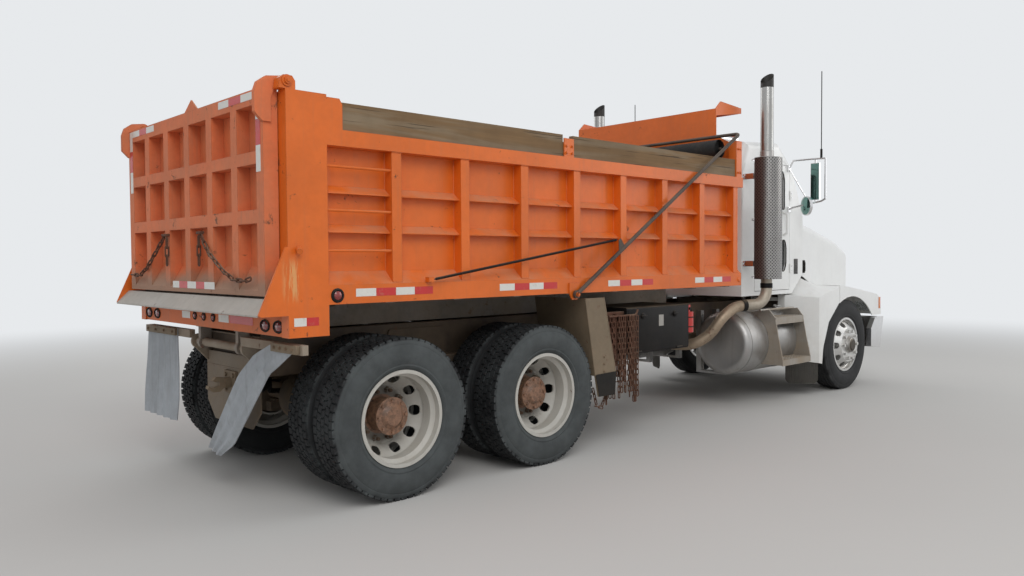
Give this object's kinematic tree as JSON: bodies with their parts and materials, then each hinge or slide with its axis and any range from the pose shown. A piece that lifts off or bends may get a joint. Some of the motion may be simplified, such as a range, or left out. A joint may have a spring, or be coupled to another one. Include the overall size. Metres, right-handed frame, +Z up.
{
  "type": "dump truck",
  "caption": "Tandem-axle dump truck with a ribbed tipping body, swinging tailgate, tarp arms, tilting hood, opening doors, steering front wheels and a hoist under the body.",
  "frame": {"origin": "on the ground under the middle of the truck's length and width", "axes": "+X forward along the truck, +Y to the driver's left, +Z up"},
  "size_m": [8.52, 2.718, 3.644],
  "materials": {
    "tyre": "matt, dusty sidewalls",
    "rear_rim": "cream paint, dusty",
    "front_rim": "polished",
    "chassis": "worn black paint under dust",
    "cast_metal": "greasy and dusty",
    "body_orange": "faded gloss with scratches",
    "bare_steel": "scraped and dusty",
    "rusty_chain": "rusty",
    "cab_white": "gloss",
    "glass": "clear",
    "chrome": "polished, a little dusty",
    "polished_aluminium": "polished, a little dusty",
    "black_rubber": "matt",
    "black_steel": "semi-gloss black",
    "red_paint": "gloss",
    "beige_paint": "dusty",
    "cab_trim": "matt grey",
    "seat_cloth": "woven",
    "lamp_lens": "clear lens over reflectors",
    "planks": "weathered",
    "tarp": "mesh",
    "arm_tube": "grey, dusty"
  },
  "bodies": {
    "chassis": {"axles": "cast_metal", "suspension": "cast_metal", "frame": "chassis", "pintle_hook": "beige_paint", "engine": "cast_metal", "driveshafts": "chassis", "bumper": "chrome", "fuel_tanks": "polished_aluminium", "cab_steps": "polished_aluminium", "tool_boxes": "black_steel", "extinguisher": "red_paint", "mud_flaps": "black_rubber", "tandem_guards": "beige_paint", "hanging_chains": "rusty_chain", "exhausts": "bare_steel", "stack_shields": "chrome", "cab_shell": "cab_white", "cab_glass": "glass", "cab_interior": "cab_trim", "seats": "seat_cloth", "roof_horn": "chrome", "quarter_fenders": "cab_white"},
    "rear_wheels_forward_left": {"tyres_forward_left": "tyre", "wheels_forward_left": "rear_rim"},
    "rear_wheels_forward_right": {"tyres_forward_right": "tyre", "wheels_forward_right": "rear_rim"},
    "rear_wheels_rearmost_left": {"tyres_rearmost_left": "tyre", "wheels_rearmost_left": "rear_rim"},
    "rear_wheels_rearmost_right": {"tyres_rearmost_right": "tyre", "wheels_rearmost_right": "rear_rim"},
    "steering_knuckle_left": {"knuckle_left": "cast_metal"},
    "steering_knuckle_right": {"knuckle_right": "cast_metal"},
    "front_wheel_left": {"tyre_front_left": "tyre", "wheel_front_left": "front_rim"},
    "front_wheel_right": {"tyre_front_right": "tyre", "wheel_front_right": "front_rim"},
    "track_rod": {"tie_rod": "cast_metal"},
    "right_door": {"door_right": "cab_white", "door_glass_right": "glass", "mirror_right": "chrome"},
    "left_door": {"door_left": "cab_white", "door_glass_left": "glass", "mirror_left": "chrome"},
    "tilting_hood": {"hood": "cab_white", "grille": "chrome", "headlamps": "lamp_lens"},
    "tipping_body": {"bed_floor": "bare_steel", "bed_side_right": "body_orange", "bed_side_left": "body_orange", "headboard": "body_orange", "rear_sill": "body_orange", "sideboards": "planks", "tarp_roll": "tarp", "tarp_springs": "black_steel"},
    "swinging_tailgate": {"tailgate": "body_orange", "tailgate_chains": "rusty_chain"},
    "tarp_bow": {"tarp_arms": "arm_tube"},
    "hoist_tube": {"hoist_barrel": "black_steel"},
    "hoist_ram": {"hoist_rod": "chrome"}
  },
  "joints": [
    {"name": "forward_left_wheel_spin", "type": "hinge", "parent": "chassis", "child": "rear_wheels_forward_left", "pos_m": [-1.9, 0.914, 0.54], "axis": [0, 1, 0], "continuous": true},
    {"name": "forward_right_wheel_spin", "type": "hinge", "parent": "chassis", "child": "rear_wheels_forward_right", "pos_m": [-1.9, -0.914, 0.54], "axis": [0, 1, 0], "continuous": true},
    {"name": "rearmost_left_wheel_spin", "type": "hinge", "parent": "chassis", "child": "rear_wheels_rearmost_left", "pos_m": [-3.24, 0.914, 0.54], "axis": [0, 1, 0], "continuous": true},
    {"name": "rearmost_right_wheel_spin", "type": "hinge", "parent": "chassis", "child": "rear_wheels_rearmost_right", "pos_m": [-3.24, -0.914, 0.54], "axis": [0, 1, 0], "continuous": true},
    {"name": "steering_left", "type": "hinge", "parent": "chassis", "child": "steering_knuckle_left", "pos_m": [3.32, 0.93, 0.54], "axis": [0, 0, 1], "range_deg": [-35, 35]},
    {"name": "steering_right", "type": "hinge", "parent": "chassis", "child": "steering_knuckle_right", "pos_m": [3.32, -0.93, 0.54], "axis": [0, 0, 1], "range_deg": [-35, 35]},
    {"name": "track_rod_slide", "type": "slide", "parent": "chassis", "child": "track_rod", "axis": [0, 1, 0], "range_m": [-0.11, 0.11]},
    {"name": "front_left_wheel_spin", "type": "hinge", "parent": "steering_knuckle_left", "child": "front_wheel_left", "pos_m": [3.32, 1.03, 0.54], "axis": [0, 1, 0], "continuous": true},
    {"name": "front_right_wheel_spin", "type": "hinge", "parent": "steering_knuckle_right", "child": "front_wheel_right", "pos_m": [3.32, -1.03, 0.54], "axis": [0, 1, 0], "continuous": true},
    {"name": "right_door_hinge", "type": "hinge", "parent": "chassis", "child": "right_door", "pos_m": [2.362, -0.925, 1.93], "axis": [0, 0, 1], "range_deg": [0, 70]},
    {"name": "left_door_hinge", "type": "hinge", "parent": "chassis", "child": "left_door", "pos_m": [2.362, 0.925, 1.93], "axis": [0, 0, -1], "range_deg": [0, 70]},
    {"name": "hood_tilt", "type": "hinge", "parent": "chassis", "child": "tilting_hood", "pos_m": [4.18, 0, 0.88], "axis": [0, 1, 0], "range_deg": [0, 70]},
    {"name": "body_tip", "type": "hinge", "parent": "chassis", "child": "tipping_body", "pos_m": [-3.94, 0, 1], "axis": [0, -1, 0], "range_deg": [0, 50]},
    {"name": "tailgate_swing", "type": "hinge", "parent": "tipping_body", "child": "swinging_tailgate", "pos_m": [-4.06, 0, 2.636], "axis": [0, 1, 0], "range_deg": [0, 60]},
    {"name": "tarp_bow_swing", "type": "hinge", "parent": "tipping_body", "child": "tarp_bow", "pos_m": [-1.61, 0, 1.31], "axis": [0, -1, 0], "range_deg": [0, 115], "deforming": ["tarp_springs"]},
    {"name": "hoist_tube_pivot", "type": "hinge", "parent": "chassis", "child": "hoist_tube", "pos_m": [-0.84, 0, 0.88], "axis": [0, -1, 0], "range_deg": [-15, 5]},
    {"name": "hoist_ram_stroke", "type": "slide", "parent": "hoist_tube", "child": "hoist_ram", "axis": [-0.9918, 0, 0.1275], "range_m": [0, 0.66]}
  ],
  "couplings": [
    {"joint": "steering_right", "follows": "steering_left", "ratio": 1},
    {"joint": "track_rod_slide", "follows": "steering_left", "m_per_rad": -0.174},
    {"joint": "hoist_tube_pivot", "follows": "body_tip", "ratio": -0.2714},
    {"joint": "hoist_ram_stroke", "follows": "body_tip", "m_per_rad": 0.7288}
  ]
}
